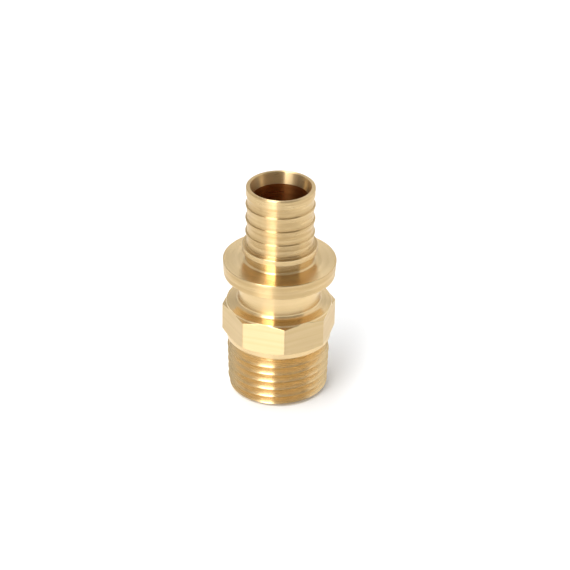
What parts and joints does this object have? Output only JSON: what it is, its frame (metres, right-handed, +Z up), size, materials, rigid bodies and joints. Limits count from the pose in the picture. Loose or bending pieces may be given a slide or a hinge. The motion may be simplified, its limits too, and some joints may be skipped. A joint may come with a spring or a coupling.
{
  "type": "pex male adapter",
  "caption": "One-piece brass pipe adapter: tapered male pipe thread, octagonal wrench section, neck and collar, and a ribbed spigot for plastic pipe, with a bore right through.",
  "frame": {"origin": "centre of the thread's end face", "axes": "+Z up the bore, from the thread to the mouth of the spigot; +X square to one wrench flat"},
  "size_m": [0.0234, 0.0234, 0.0463],
  "materials": {
    "brass": "turned and milled, bright"
  },
  "bodies": {
    "root": {"adapter_body": "brass"}
  },
  "joints": []
}
